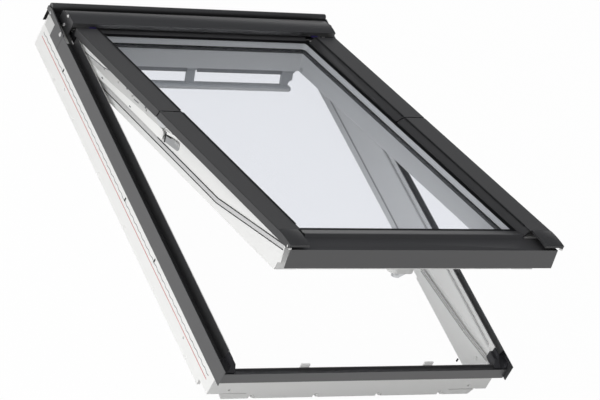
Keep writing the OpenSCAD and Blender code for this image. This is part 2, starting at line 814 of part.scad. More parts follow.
// Control bar on its rod, with flared end plates and a middle plate that leave finger gaps
module control_bar() {
    plate_w = 24;
    plate_h = 5;
    grip_x = -14;
    flare = (rod_l - bar_l) / 2;
    hollow = 4;
    reach = [bar_y - rod_y, bar_z - rod_z];
    color(pale) opened() {
        translate([-rod_l / 2, rod_y, rod_z]) rotate([0, 90, 0]) cylinder(r = rod_r, h = rod_l);
        translate([0, rod_y, rod_z]) rotate([atan2(reach[1], reach[0]), 0, 0]) linear_extrude(plate_h) {
            translate([grip_x - plate_w / 2, 0]) square([plate_w, norm(reach)]);
            for (side = [-1, 1]) mirror([side < 0 ? 1 : 0, 0]) difference() {
                translate([bar_l / 2 - plate_w, 0]) square([plate_w + flare - 1, norm(reach)]);
                translate([rod_l / 2 + 1, norm(reach) - plate_h]) circle(flare + hollow);
                translate([bar_l / 2 + 1 - hollow, norm(reach) - plate_h]) square([2 * flare, 2 * flare]);
            }
        }
        along_x(-bar_l / 2, bar_l / 2) {
            translate([bar_y - bar_w / 2 + bar_t / 2, bar_z - bar_t / 2]) square([bar_w - bar_t, bar_t]);
            for (end = [-1, 1]) translate([bar_y + end * (bar_w - bar_t) / 2, bar_z]) circle(bar_t / 2);
        }
    }
}

frame_side(-1);  // frame_side_left
frame_side(1);  // frame_side_right
frame_head();
frame_sill();
side_cladding(-1);  // side_cladding_left
side_cladding(1);  // side_cladding_right
sill_cladding();
head_deck();
cladding_end(-1);  // cladding_end_left
cladding_end(1);  // cladding_end_right
rear_strip();
hood();
hood_end(-1);  // hood_end_left
hood_end(1);  // hood_end_right
corner_seal(-1);  // corner_seal_left
corner_seal(1);  // corner_seal_right
hinge_bracket(-1);  // hinge_bracket_left
hinge_bracket(1);  // hinge_bracket_right
sill_keepers();
cladding_rivets();
corner_plate(-1);  // corner_plate_left
corner_plate(1);  // corner_plate_right
arm(-1);  // arm_left
arm(1);  // arm_right
upper_cover(-1);  // upper_cover_left
upper_cover(1);  // upper_cover_right
pivot_housing(-1);  // pivot_housing_left
pivot_housing(1);  // pivot_housing_right
sash_side(-1);  // sash_side_left
sash_side(1);  // sash_side_right
sash_head();
sash_sill();
outer_pane();
inner_pane();
pane_spacer();
outer_seal();
inner_seal();
lower_cover(-1);  // lower_cover_left
lower_cover(1);  // lower_cover_right
cover_tip(-1);  // cover_tip_left
cover_tip(1);  // cover_tip_right
head_cover();
sill_cover();
side_gasket(-1);  // side_gasket_left
side_gasket(1);  // side_gasket_right
pivot_plate(-1);  // pivot_plate_left
pivot_plate(1);  // pivot_plate_right
handle_rosette();
handle_lever();
control_bar();
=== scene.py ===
"""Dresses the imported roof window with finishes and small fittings, as a Blender add-on run as a script."""

import json
import math

import bmesh
import bpy
from bpy.props import FloatProperty, FloatVectorProperty, PointerProperty
from mathutils import Matrix, Vector


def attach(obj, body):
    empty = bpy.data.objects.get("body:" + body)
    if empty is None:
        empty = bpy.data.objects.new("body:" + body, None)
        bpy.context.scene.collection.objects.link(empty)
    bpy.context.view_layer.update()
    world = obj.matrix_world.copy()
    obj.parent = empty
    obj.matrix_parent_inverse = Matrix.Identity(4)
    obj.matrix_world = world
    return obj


bl_info = {
    "name": "Roof Window Dresser",
    "version": (1, 0, 0),
    "blender": (4, 5, 0),
    "location": "3D View > Sidebar > Roof Window",
    "description": "Adds finishes and small fittings to a packed top-hung roof window",
    "category": "Object",
}

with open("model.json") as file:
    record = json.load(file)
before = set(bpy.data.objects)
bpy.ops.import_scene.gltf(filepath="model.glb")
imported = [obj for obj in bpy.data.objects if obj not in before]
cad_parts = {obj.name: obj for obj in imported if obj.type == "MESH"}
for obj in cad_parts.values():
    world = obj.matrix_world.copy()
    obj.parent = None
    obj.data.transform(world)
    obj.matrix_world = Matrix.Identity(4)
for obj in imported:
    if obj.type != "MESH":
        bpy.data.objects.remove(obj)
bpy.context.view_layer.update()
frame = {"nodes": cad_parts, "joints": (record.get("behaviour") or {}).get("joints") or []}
NODES = frame["nodes"]
JOINTS = {joint["name"]: joint for joint in frame["joints"]}
MM = 0.001

# Directions that fastener heads face: out of or into the window on its right side, and towards its head
OUTWARD = (1, 0, 0)
INWARD = (-1, 0, 0)
UPHILL = (0, 1, 0)


def turn_about(joint, degrees):
    """The matrix that turns a point about one of the frame's joints, counted from the rest pose."""
    pivot = Matrix.Translation(Vector(joint["pos_m"]))
    return pivot @ Matrix.Rotation(math.radians(degrees), 4, Vector(joint["axis"])) @ pivot.inverted()


# Sash pieces are laid out with the sash shut, where the window is square to the axes
SASH_OPEN = turn_about(JOINTS["top_hinge"], -JOINTS["top_hinge"]["range_deg"][0])


def sized(name, description, default):
    """A length property in metres."""
    return FloatProperty(
        name=name, description=description, default=default, min=0.0, unit="LENGTH", precision=4
    )


def tinted(name, description, default):
    """A colour property, linear RGB."""
    return FloatVectorProperty(
        name=name, description=description, default=default, size=3, min=0.0, max=1.0, subtype="COLOR"
    )


def shared(name, description, default):
    """A property that runs from nought to one."""
    return FloatProperty(
        name=name, description=description, default=default, min=0.0, max=1.0, subtype="FACTOR"
    )


def powered(name, description, default):
    """A lamp's power in watts."""
    return FloatProperty(name=name, description=description, default=default, min=0.0, subtype="POWER")


def aimed(name, description, default, subtype="DIRECTION"):
    """A place or a direction in the window's frame."""
    return FloatVectorProperty(name=name, description=description, default=default, size=3, subtype=subtype)


class FinishSettings(bpy.types.PropertyGroup):
    """Colours and gloss of the window's finishes."""

    white: tinted("White", "Lacquered frame and sash", (0.86, 0.86, 0.85))
    cladding: tinted("Cladding", "Coated sheet on the outside", (0.042, 0.042, 0.044))
    # Painted light: the pale grey that lightens the gutter's shaded upstand
    gutter_light_tint: tinted("Painted gutter light", "Uncoated back of the cladding's sheet", (0.36, 0.36, 0.365))
    rubber: tinted("Rubber", "Seals and gaskets", (0.008, 0.008, 0.009))
    # Used for the real grey webs and for strips of painted shade on the white frame
    grey_rubber_and_shade: tinted("Grey rubber and shade", "Pale webs and seals", (0.58, 0.58, 0.58))
    # Painted shade: the grey of the strips that stand in for shade along the frame's rebate
    rebate_shade_grey: tinted("Rebate shade grey", "Strips along the frame's rebate", (0.42, 0.42, 0.42))
    # Grey of the pivot slides, and painted shadow in the strips under the sash head
    grey_plate_and_shadow: tinted("Grey plate and shadow", "Slides and hinge strips", (0.30, 0.305, 0.31))
    # Painted shadow: dark grey for the wavy line under the cladding and the shade on the hinge arms
    shadow_strip_tint: tinted("Painted shadow strip", "Crimped strip and arm slots", (0.10, 0.105, 0.12))
    # Painted shade in gaps, notches and the head deck, and the colour of parts that are black
    shade_and_black: tinted("Painted shade and black", "Deep gaps and blackened fittings", (0.01, 0.01, 0.011))
    zinc: tinted("Zinc", "Plated hinge fittings", (0.62, 0.63, 0.64))
    bar: tinted("Bar", "Satin control bar", (0.60, 0.61, 0.62))
    spacer: tinted("Spacer", "Bar between the two panes", (0.88, 0.89, 0.9))
    glass: tinted("Glass", "Tint of one pass through a pane's face", (0.95, 0.96, 0.985))
    line: tinted("Line", "Marking line along the frame side", (0.55, 0.10, 0.09))
    # Colour of a small dark blue block under the hood's front edge
    clip: tinted("Clip", "Small hinge clip under the hood", (0.03, 0.02, 0.12))
    white_roughness: shared("White roughness", "Gloss of the lacquer", 0.42)
    cladding_roughness: shared("Cladding roughness", "Gloss of the coated sheet", 0.4)


class StageSettings(bpy.types.PropertyGroup):
    """Camera and light of the studio."""

    camera_place: aimed("Camera place", "Where the camera stands", (-4.7939, -5.4, 5.5269), "TRANSLATION")
    camera_right: aimed("Camera right", "The picture's right-hand direction", (0.8438, -0.3695, 0.3892))
    camera_up: aimed("Camera up", "The picture's upward direction", (-0.0094, 0.715, 0.699))
    lens: FloatProperty(
        name="Lens", description="Focal length in millimetres", default=230.4, subtype="DISTANCE_CAMERA"
    )
    ambient: FloatProperty(name="Ambient", description="Strength of the even light all round", default=0.28)
    sky: tinted("Sky", "Upper part of the studio that shiny faces mirror", (0.11, 0.115, 0.125))
    key: powered("Key", "Power of the large lamp on the left", 50.0)
    low: powered("Low", "Power of the low lamp that reaches under the sash", 43.0)
    fill: powered("Fill", "Power of the large lamp overhead", 65.0)


class DetailSettings(bpy.types.PropertyGroup):
    """Sizes of the screws and of the solids' edge rounding."""

    screw_radius: sized("Screw radius", "Head radius of the small screws", 0.0042)
    edge_round: sized("Edge rounding", "Rounding of the moulded white edges", 0.0012)
    sheet_round: sized("Sheet rounding", "Rounding of the folded sheet's edges", 0.0006)


def finish_settings():
    return bpy.context.scene.window_finish


def stage_settings():
    return bpy.context.scene.window_stage


def detail_settings():
    return bpy.context.scene.window_detail


def link(tree, source, target):
    tree.links.new(source, target)


def node(tree, kind, place=(0, 0), **values):
    """A new node of that kind, with its properties or else its input sockets set by name."""
    made = tree.nodes.new(kind)
    made.location = place
    for name, value in values.items():
        if hasattr(made, name):
            setattr(made, name, value)
        else:
            made.inputs[name.replace("_", " ")].default_value = value
    return made


def new_group(name, inputs, outputs):
    """An empty shader node group with named sockets, and its input and output nodes."""
    group = bpy.data.node_groups.new(name, "ShaderNodeTree")
    for label, kind, default in inputs:
        socket = group.interface.new_socket(name=label, in_out="INPUT", socket_type=kind)
        if default is not None:
            socket.default_value = default
    for label, kind in outputs:
        group.interface.new_socket(name=label, in_out="OUTPUT", socket_type=kind)
    return group, node(group, "NodeGroupInput", (-800, 0)), node(group, "NodeGroupOutput", (600, 0))


def coating_group():
    """Fine speckle and soft clouding of a sprayed or moulded coat."""
    group, entry, leave = new_group(
        "Coating",
        [
            ("Vector", "NodeSocketVector", None),
            ("Grain Scale", "NodeSocketFloat", 900.0),
            ("Cloud Scale", "NodeSocketFloat", 5.0),
            ("Cloud Share", "NodeSocketFloat", 0.5),
        ],
        [("Tone", "NodeSocketFloat"), ("Height", "NodeSocketFloat")],
    )
    grain = node(group, "ShaderNodeTexNoise", (-500, 150), Detail=2.0, Roughness=0.6)
    cloud = node(group, "ShaderNodeTexNoise", (-500, -150), Detail=4.0, Roughness=0.55)
    mix = node(group, "ShaderNodeMix", (-150, 0))
    for target, scale in ((grain, "Grain Scale"), (cloud, "Cloud Scale")):
        link(group, entry.outputs["Vector"], target.inputs["Vector"])
        link(group, entry.outputs[scale], target.inputs["Scale"])
    link(group, entry.outputs["Cloud Share"], mix.inputs["Factor"])
    link(group, grain.outputs["Fac"], mix.inputs["A"])
    link(group, cloud.outputs["Fac"], mix.inputs["B"])
    link(group, mix.outputs["Result"], leave.inputs["Tone"])
    link(group, grain.outputs["Fac"], leave.inputs["Height"])
    return group


def brushed_group():
    """Fine lines drawn out along one direction, as on rolled or brushed metal."""
    group, entry, leave = new_group(
        "Brushed",
        [("Vector", "NodeSocketVector", None), ("Stretch", "NodeSocketVector", (1200.0, 30.0, 1200.0))],
        [("Tone", "NodeSocketFloat"), ("Height", "NodeSocketFloat")],
    )
    scaled = node(group, "ShaderNodeVectorMath", (-500, 0), operation="MULTIPLY")
    lines = node(group, "ShaderNodeTexNoise", (-250, 0), Scale=1.0, Detail=3.0, Roughness=0.65)
    link(group, entry.outputs["Vector"], scaled.inputs[0])
    link(group, entry.outputs["Stretch"], scaled.inputs[1])
    link(group, scaled.outputs["Vector"], lines.inputs["Vector"])
    link(group, lines.outputs["Fac"], leave.inputs["Tone"])
    link(group, lines.outputs["Fac"], leave.inputs["Height"])
    return group


def group_named(name, maker):
    return bpy.data.node_groups.get(name) or maker()


def blank_material(name):
    """A material with its own Principled shader, and the parts that its nodes hang on."""
    made = bpy.data.materials.new(name)
    made.use_nodes = True
    tree = made.node_tree
    tree.nodes.clear()
    shader = node(tree, "ShaderNodeBsdfPrincipled", (300, 0))
    output = node(tree, "ShaderNodeOutputMaterial", (600, 0))
    link(tree, shader.outputs["BSDF"], output.inputs["Surface"])
    return made, tree, shader, output


def shade(colour, factor):
    """A colour made lighter or darker, as RGB."""
    return tuple(min(1.0, channel * factor) for channel in colour)


def toned(tree, shader, group, colour, spread, roughness, rough_spread, bump):
    """Sets colour, roughness and bump of a shader from a group's Tone and Height."""
    distance = 0.0004
    coords = node(tree, "ShaderNodeTexCoord", (-900, 0))
    link(tree, coords.outputs["Object"], group.inputs["Vector"])
    ramp = node(tree, "ShaderNodeMix", (-150, 150), data_type="RGBA")
    ramp.inputs["A"].default_value = (*shade(colour, 1.0 - spread), 1.0)
    ramp.inputs["B"].default_value = (*shade(colour, 1.0 + spread), 1.0)
    link(tree, group.outputs["Tone"], ramp.inputs["Factor"])
    link(tree, ramp.outputs["Result"], shader.inputs["Base Color"])
    rough = node(tree, "ShaderNodeMapRange", (-150, -120))
    rough.inputs["To Min"].default_value = roughness - rough_spread
    rough.inputs["To Max"].default_value = roughness + rough_spread
    link(tree, group.outputs["Tone"], rough.inputs["Value"])
    link(tree, rough.outputs["Result"], shader.inputs["Roughness"])
    relief = node(tree, "ShaderNodeBump", (-150, -380), Strength=bump, Distance=distance)
    link(tree, group.outputs["Height"], relief.inputs["Height"])
    link(tree, relief.outputs["Normal"], shader.inputs["Normal"])


def placed_group(tree, name, maker, **values):
    """A shared node group placed in a material, with its own values."""
    made = node(tree, "ShaderNodeGroup", (-550, 0))
    made.node_tree = group_named(name, maker)
    for label, value in values.items():
        made.inputs[label.replace("_", " ")].default_value = value
    return made


def coated(name, colour, roughness, spread, grain, cloud, bump, specular):
    """A coated, moulded or rubber surface with a fine grain."""
    made, tree, shader, _ = blank_material(name)
    group = placed_group(tree, "Coating", coating_group, Grain_Scale=grain, Cloud_Scale=cloud)
    toned(tree, shader, group, colour, spread, roughness, rough_spread=0.06, bump=bump)
    shader.inputs["Specular IOR Level"].default_value = specular
    return made


def metal(name, colour, roughness, stretch):
    """A plated metal with lines drawn out along one direction."""
    made, tree, shader, _ = blank_material(name)
    group = placed_group(tree, "Brushed", brushed_group, Stretch=stretch)
    toned(tree, shader, group, colour, 0.08, roughness, rough_spread=0.08, bump=0.05)
    shader.inputs["Metallic"].default_value = 1.0
    return made


def pane_material(name, tint):
    """Clear glass that lets lamps through to what is behind it."""
    smear, bend, shadow = 0.003, 1.12, (0.89, 0.895, 0.9, 1.0)
    made, tree, shader, output = blank_material(name)
    group = placed_group(tree, "Coating", coating_group, Grain_Scale=40.0, Cloud_Scale=2.0, Cloud_Share=0.9)
    coords = node(tree, "ShaderNodeTexCoord", (-900, 0))
    link(tree, coords.outputs["Object"], group.inputs["Vector"])
    film = node(tree, "ShaderNodeMapRange", (-150, -120))
    film.inputs["To Min"].default_value = 0.0
    film.inputs["To Max"].default_value = smear
    link(tree, group.outputs["Tone"], film.inputs["Value"])
    link(tree, film.outputs["Result"], shader.inputs["Roughness"])
    shader.inputs["Base Color"].default_value = (*tint, 1.0)
    shader.inputs["Transmission Weight"].default_value = 1.0
    shader.inputs["IOR"].default_value = bend
    clear = node(tree, "ShaderNodeBsdfTransparent", (300, -350), Color=shadow)
    rays = node(tree, "ShaderNodeLightPath", (-150, 420))
    both = node(tree, "ShaderNodeMath", (80, 380), operation="MAXIMUM")
    link(tree, rays.outputs["Is Shadow Ray"], both.inputs[0])
    link(tree, rays.outputs["Is Diffuse Ray"], both.inputs[1])
    mix = node(tree, "ShaderNodeMixShader", (480, 120))
    link(tree, both.outputs["Value"], mix.inputs["Fac"])
    link(tree, shader.outputs["BSDF"], mix.inputs[1])
    link(tree, clear.outputs["BSDF"], mix.inputs[2])
    link(tree, mix.outputs["Shader"], output.inputs["Surface"])
    return made


def finish(name):
    """The window's finishes by name, each made when it is first asked for."""
    found = bpy.data.materials.get(name)
    if found:
        return found
    given = finish_settings()
    if name == "Pane":
        return pane_material(name, given.glass)
    if name == "Plated steel":
        return metal(name, given.zinc, roughness=0.34, stretch=(900.0, 60.0, 900.0))
    # Colour, roughness, spread of the tone, scale of grain and of clouding, bump, specular level
    coats = {
        "White lacquer": (given.white, given.white_roughness, 0.02, 700.0, 4.0, 0.05, 0.5),
        # Painted shade: a darker copy of the white lacquer for the sash sides
        "Shaded sash lacquer": (shade(given.white, 0.92), given.white_roughness, 0.02, 700.0, 4.0, 0.05, 0.5),
        "White moulding": (given.white, 0.3, 0.02, 500.0, 8.0, 0.03, 0.5),
        "Pale plate": (shade(given.white, 0.68), 0.36, 0.03, 600.0, 9.0, 0.04, 0.5),
        "Coated sheet": (given.cladding, given.cladding_roughness, 0.10, 1600.0, 3.0, 0.10, 1.0),
        # Painted shade: the cladding's coat with a lower specular level, so the sash's covers look darker
        "Shaded cover sheet": (given.cladding, given.cladding_roughness, 0.10, 1600.0, 3.0, 0.10, 0.35),
        # Painted light on the gutter's upstand
        "Painted gutter light": (given.gutter_light_tint, 0.5, 0.10, 900.0, 6.0, 0.08, 0.4),
        "Rubber": (given.rubber, 0.62, 0.25, 1100.0, 12.0, 0.20, 0.3),
        # Painted sheen: the seals' rubber made four times lighter for the corner seals
        "Corner rubber with sheen": (shade(given.rubber, 4.0), 0.6, 0.25, 1100.0, 12.0, 0.20, 0.4),
        # Grey webs, and painted shade on the frame's ledge and rebate
        "Grey rubber and shade": (given.grey_rubber_and_shade, 0.6, 0.06, 900.0, 12.0, 0.10, 0.3),
        # Painted shade along the frame's rebate
        "Rebate shade grey": (given.rebate_shade_grey, 0.5, 0.06, 900.0, 12.0, 0.06, 0.4),
        # Pivot slides, and painted shadow under the sash head
        "Grey plate and shadow": (given.grey_plate_and_shadow, 0.38, 0.12, 500.0, 30.0, 0.06, 0.5),
        # Painted shadow under the cladding and on the hinge arms
        "Painted shadow strip": (given.shadow_strip_tint, 0.5, 0.15, 700.0, 30.0, 0.06, 0.4),
        # Painted shade in gaps and notches, and black parts
        "Painted shade and black": (given.shade_and_black, 0.7, 0.20, 900.0, 10.0, 0.10, 0.2),
        "Satin bar": (given.bar, 0.36, 0.05, 800.0, 12.0, 0.04, 0.6),
        "Spacer": (given.spacer, 0.4, 0.04, 700.0, 20.0, 0.04, 0.5),
        "Marking line": (given.line, 0.5, 0.10, 900.0, 60.0, 0.02, 0.5),
        "Blue block": (given.clip, 0.4, 0.10, 700.0, 20.0, 0.04, 0.5),
    }
    return coated(name, *coats[name])


def piece(name, shape, finish_name, body, on_sash=False):
    """Turns a bmesh into a finished object at the origin that rides on a body."""
    if on_sash:
        bmesh.ops.transform(shape, matrix=SASH_OPEN, verts=shape.verts)
    bmesh.ops.recalc_face_normals(shape, faces=shape.faces)
    mesh = bpy.data.meshes.new(name)
    shape.to_mesh(mesh)
    shape.free()
    made = bpy.data.objects.new(name, mesh)
    bpy.context.scene.collection.objects.link(made)
    made.data.materials.append(finish(finish_name))
    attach(made, body)
    return made


def soften(shape, verts, width):
    """Rounds the edges that meet these vertices by a width in millimetres."""
    edges = list({edge for vert in verts for edge in vert.link_edges})
    bmesh.ops.bevel(
        shape, geom=edges, offset=width * MM, offset_type="OFFSET", affect="EDGES",
        segments=2, profile=0.5, material=-1,
    )


def block(shape, low, high, soft=0.3):
    """A box with softened edges between two corners given in millimetres."""
    low, high = Vector(low) * MM, Vector(high) * MM
    made = bmesh.ops.create_cube(shape, size=1.0)["verts"]
    bmesh.ops.scale(shape, vec=high - low, verts=made)
    bmesh.ops.translate(shape, vec=(low + high) / 2, verts=made)
    soften(shape, made, soft)


def plate(shape, outline, inner, outer, soft=0.1):
    """A plate of a Y-Z outline between two distances from the window's middle, in millimetres."""
    face = shape.faces.new([shape.verts.new(Vector((inner, y, z)) * MM) for y, z in outline])
    grown = bmesh.ops.extrude_face_region(shape, geom=[face])["geom"]
    lifted = [part for part in grown if isinstance(part, bmesh.types.BMVert)]
    bmesh.ops.translate(shape, vec=Vector((outer - inner, 0.0, 0.0)) * MM, verts=lifted)
    if soft:
        soften(shape, lifted, soft)


def bar_outline(start, end, width):
    """The four corners of a straight strip between two Y-Z points."""
    start, end = Vector(start), Vector(end)
    across = (end - start).normalized().orthogonal() * width / 2
    return [start - across, end - across, end + across, start + across]


def oval_outline(start, end, radius, steps=10):
    """A slot's Y-Z outline between two points, with half-round ends."""
    turns = [math.pi * (step / steps - 0.5) for step in range(steps + 1)]
    far = [(end[0] + radius * math.cos(turn), end[1] + radius * math.sin(turn)) for turn in turns]
    near = [(start[0] - radius * math.cos(turn), start[1] - radius * math.sin(turn)) for turn in turns]
    return far + near


def head(shape, place, facing, radius, height, socket=0.0, flatten=1.0):
    """A round fastener head with a tapered rim and, for a screw, a sunk socket."""
    taper, sink = 0.7, 0.6
    before = set(shape.verts)
    made = bmesh.ops.create_cone(
        shape, cap_ends=True, segments=24,
        radius1=radius * MM, radius2=radius * taper * MM, depth=height * MM,
    )["verts"]
    faces = {face for vert in made for face in vert.link_faces}
    top = max(faces, key=lambda face: face.calc_center_median().z)
    if socket:
        bmesh.ops.inset_individual(shape, faces=[top], thickness=radius * (taper - socket) * MM)
        bmesh.ops.translate(shape, vec=(0.0, 0.0, -height * sink * MM), verts=top.verts)
    fresh = [vert for vert in shape.verts if vert not in before]
    bmesh.ops.scale(shape, vec=(1.0, flatten, 1.0), verts=fresh)
    turn = Vector((0.0, 0.0, 1.0)).rotation_difference(Vector(facing)).to_matrix().to_4x4()
    lift = Matrix.Translation(Vector(place) * MM) @ turn @ Matrix.Translation((0.0, 0.0, height * MM / 2))
    bmesh.ops.transform(shape, matrix=lift, verts=fresh)


def pair(name, build, finish_name, body, on_sash=False):
    """The same piece on both sides, built on the right and mirrored to the left."""
    for side, sign in (("left", -1.0), ("right", 1.0)):
        shape = bmesh.new()
        build(shape)
        bmesh.ops.scale(shape, vec=(sign, 1.0, 1.0), verts=shape.verts)
        piece(f"{name}_{side}", shape, finish_name, body, on_sash)


def single(name, build, finish_name, body, on_sash=False):
    """One piece that is made once."""
    shape = bmesh.new()
    build(shape)
    piece(name, shape, finish_name, body, on_sash)


def dress(names, finish_name, rounding=0.0):
    """Gives CAD nodes a finish, and rounds their sharp edges a little."""
    for name in names:
        target = NODES[name]
        target.data.materials.clear()
        target.data.materials.append(finish(finish_name))
        if rounding:
            weld = target.modifiers.new("Join", "WELD")
            weld.merge_threshold = 0.00002
            bevel = target.modifiers.new("Round", "BEVEL")
            bevel.width = rounding
            bevel.segments = 2
            bevel.profile = 0.5
            bevel.limit_method = "ANGLE"
            bevel.angle_limit = math.radians(35)
            bevel.harden_normals = False


def both_sides(*stems):
    """The left and the right node of each stem."""
    return [f"{stem}_{side}" for stem in stems for side in ("left", "right")]


class WINDOW_OT_stage(bpy.types.Operator):
    """Sets up the pale floor, the soft light and the camera"""

    bl_idname = "window.stage"
    bl_label = "Studio"

    def execute(self, context):
        set_to = stage_settings()
        scene = context.scene
        scene.view_settings.view_transform = "Standard"
        right, up = Vector(set_to.camera_right), Vector(set_to.camera_up)
        back = right.cross(up).normalized()
        up = back.cross(right).normalized()
        data = bpy.data.cameras.new("Photo camera")
        data.lens = set_to.lens
        data.sensor_width = 36.0
        data.clip_end = 100.0
        camera = bpy.data.objects.new("Photo camera", data)
        scene.collection.objects.link(camera)
        turned = Matrix((right.normalized(), up, back)).transposed().to_4x4()
        camera.matrix_world = Matrix.Translation(Vector(set_to.camera_place)) @ turned
        scene.camera = camera
        self.floor(scene)
        self.world(scene, set_to)
        self.lamp(scene, "Left lamp", (-3.3, 0.0, 2.4), (4.0, 4.0), set_to.key)
        self.lamp(scene, "Low lamp", (-3.2, -1.5, 0.7), (2.8, 1.2), set_to.low)
        self.lamp(scene, "Top lamp", (0.4, 0.4, 4.2), (4.0, 4.0), set_to.fill)
        return {"FINISHED"}

    def floor(self, scene):
        """A pale floor that mostly glows where it is seen, so that no shadow stains it."""
        glow_share = 0.97
        shape = bmesh.new()
        bmesh.ops.create_grid(shape, x_segments=1, y_segments=1, size=30.0)
        mesh = bpy.data.meshes.new("Floor")
        shape.to_mesh(mesh)
        shape.free()
        floor = bpy.data.objects.new("Floor", mesh)
        scene.collection.objects.link(floor)
        made = bpy.data.materials.new("Pale floor")
        made.use_nodes = True
        tree = made.node_tree
        tree.nodes.clear()
        seen = seen_directly(tree)
        tone = node(tree, "ShaderNodeMix", (-150, 0), data_type="RGBA")
        tone.inputs["A"].default_value = (0.85, 0.85, 0.85, 1.0)
        tone.inputs["B"].default_value = (0.95, 0.95, 0.95, 1.0)
        lit = node(tree, "ShaderNodeBsdfDiffuse", (50, 0))
        glow = node(tree, "ShaderNodeEmission", (50, -200), Color=(1.0, 1.0, 1.0, 1.0), Strength=1.0)
        share = node(tree, "ShaderNodeMath", (50, 250), operation="MULTIPLY")
        share.inputs[1].default_value = glow_share
        link(tree, seen, share.inputs[0])
        link(tree, seen, tone.inputs["Factor"])
        link(tree, tone.outputs["Result"], lit.inputs["Color"])
        mix = node(tree, "ShaderNodeMixShader", (250, 0))
        output = node(tree, "ShaderNodeOutputMaterial", (500, 0))
        link(tree, share.outputs["Value"], mix.inputs["Fac"])
        link(tree, lit.outputs["BSDF"], mix.inputs[1])
        link(tree, glow.outputs["Emission"], mix.inputs[2])
        link(tree, mix.outputs["Shader"], output.inputs["Surface"])
        mesh.materials.append(made)

    def world(self, scene, set_to):
        """White where it is seen, darker above where shiny faces mirror it, and an even light otherwise."""
        horizon = (-0.05, 0.1)
        world = bpy.data.worlds.new("Studio")
        scene.world = world
        world.use_nodes = True
        tree = world.node_tree
        tree.nodes.clear()
        white = (1.0, 1.0, 1.0, 1.0)
        even = node(tree, "ShaderNodeBackground", (0, 0), Color=white, Strength=set_to.ambient)
        seen = node(tree, "ShaderNodeBackground", (0, -200), Strength=1.0)
        coords = node(tree, "ShaderNodeTexCoord", (-900, -250))
        split = node(tree, "ShaderNodeSeparateXYZ", (-700, -250))
        height = node(tree, "ShaderNodeMapRange", (-500, -250), interpolation_type="SMOOTHSTEP")
        height.inputs["From Min"].default_value = horizon[0]
        height.inputs["From Max"].default_value = horizon[1]
        rays = node(tree, "ShaderNodeLightPath", (-700, -500))
        above = node(tree, "ShaderNodeMath", (-300, -350), operation="SUBTRACT", use_clamp=True)
        sky = node(tree, "ShaderNodeMix", (-150, -250), data_type="RGBA")
        sky.inputs["A"].default_value = white
        sky.inputs["B"].default_value = (*set_to.sky, 1.0)
        link(tree, coords.outputs["Generated"], split.inputs["Vector"])
        link(tree, split.outputs["Z"], height.inputs["Value"])
        link(tree, height.outputs["Result"], above.inputs[0])
        link(tree, rays.outputs["Is Camera Ray"], above.inputs[1])
        link(tree, above.outputs["Value"], sky.inputs["Factor"])
        link(tree, sky.outputs["Result"], seen.inputs["Color"])
        mix = node(tree, "ShaderNodeMixShader", (250, 0))
        output = node(tree, "ShaderNodeOutputWorld", (500, 0))
        link(tree, seen_directly(tree), mix.inputs["Fac"])
        link(tree, even.outputs["Background"], mix.inputs[1])
        link(tree, seen.outputs["Background"], mix.inputs[2])
        link(tree, mix.outputs["Shader"], output.inputs["Surface"])

    def lamp(self, scene, name, place, size, power):
        """A soft lamp turned to the window's middle, which shiny faces don't mirror."""
        data = bpy.data.lights.new(name, "AREA")
        data.shape = "RECTANGLE"
        data.size, data.size_y = size
        data.energy = power
        made = bpy.data.objects.new(name, data)
        made.location = place
        aim = Vector((0.0, 0.0, 0.15)) - Vector(place)
        made.rotation_euler = aim.to_track_quat("-Z", "Y").to_euler()
        made.visible_glossy = False
        scene.collection.objects.link(made)


def seen_directly(tree):
    """A mask of the rays that show the background itself: straight, mirrored or through glass."""
    rays = node(tree, "ShaderNodeLightPath", (-600, 300))
    first = node(tree, "ShaderNodeMath", (-350, 350), operation="MAXIMUM")
    both = node(tree, "ShaderNodeMath", (-150, 300), operation="MAXIMUM")
    link(tree, rays.outputs["Is Camera Ray"], first.inputs[0])
    link(tree, rays.outputs["Is Glossy Ray"], first.inputs[1])
    link(tree, first.outputs["Value"], both.inputs[0])
    link(tree, rays.outputs["Is Transmission Ray"], both.inputs[1])
    return both.outputs["Value"]


class WINDOW_OT_solids(bpy.types.Operator):
    """Gives the window's solids their finishes"""

    bl_idname = "window.solids"
    bl_label = "Finish the solids"

    def execute(self, context):
        sizes = detail_settings()
        white = both_sides("frame_side") + ["frame_head", "frame_sill", "sash_head", "sash_sill"]
        sheet = both_sides("side_cladding", "cladding_end", "hood_end")
        sheet += ["sill_cladding", "rear_strip", "hood", "head_cover", "sill_cover"]
        plated = both_sides("pivot_housing", "pivot_plate") + ["cladding_rivets", "handle_lever"]
        dress(white, "White lacquer", sizes.edge_round)
        # Painted shade: the sash sides get a darker copy of the same white lacquer
        dress(both_sides("sash_side"), "Shaded sash lacquer", sizes.edge_round)
        dress(["sill_keepers", "handle_rosette"], "White moulding", sizes.edge_round)
        dress(sheet, "Coated sheet", sizes.sheet_round)
        # Painted shade: the covers get the cladding's coat with a lower specular level
        dress(both_sides("upper_cover", "lower_cover", "cover_tip"), "Shaded cover sheet", sizes.sheet_round)
        dress(both_sides("hinge_bracket"), "Painted shade and black", sizes.sheet_round)
        # Painted shade: the head deck is dressed near black because it lies in shadow
        dress(["head_deck"], "Painted shade and black")
        dress(both_sides("side_gasket") + ["outer_seal", "inner_seal"], "Rubber")
        # Painted sheen: the corner seals get a lighter copy of the rubber
        dress(both_sides("corner_seal"), "Corner rubber with sheen", sizes.sheet_round)
        dress(both_sides("arm", "corner_plate"), "Pale plate", sizes.sheet_round)
        dress(plated, "Plated steel", sizes.sheet_round)
        dress(["pane_spacer"], "Spacer", sizes.sheet_round)
        dress(["control_bar"], "Satin bar", sizes.sheet_round)
        dress(["outer_pane", "inner_pane"], "Pane")
        return {"FINISHED"}


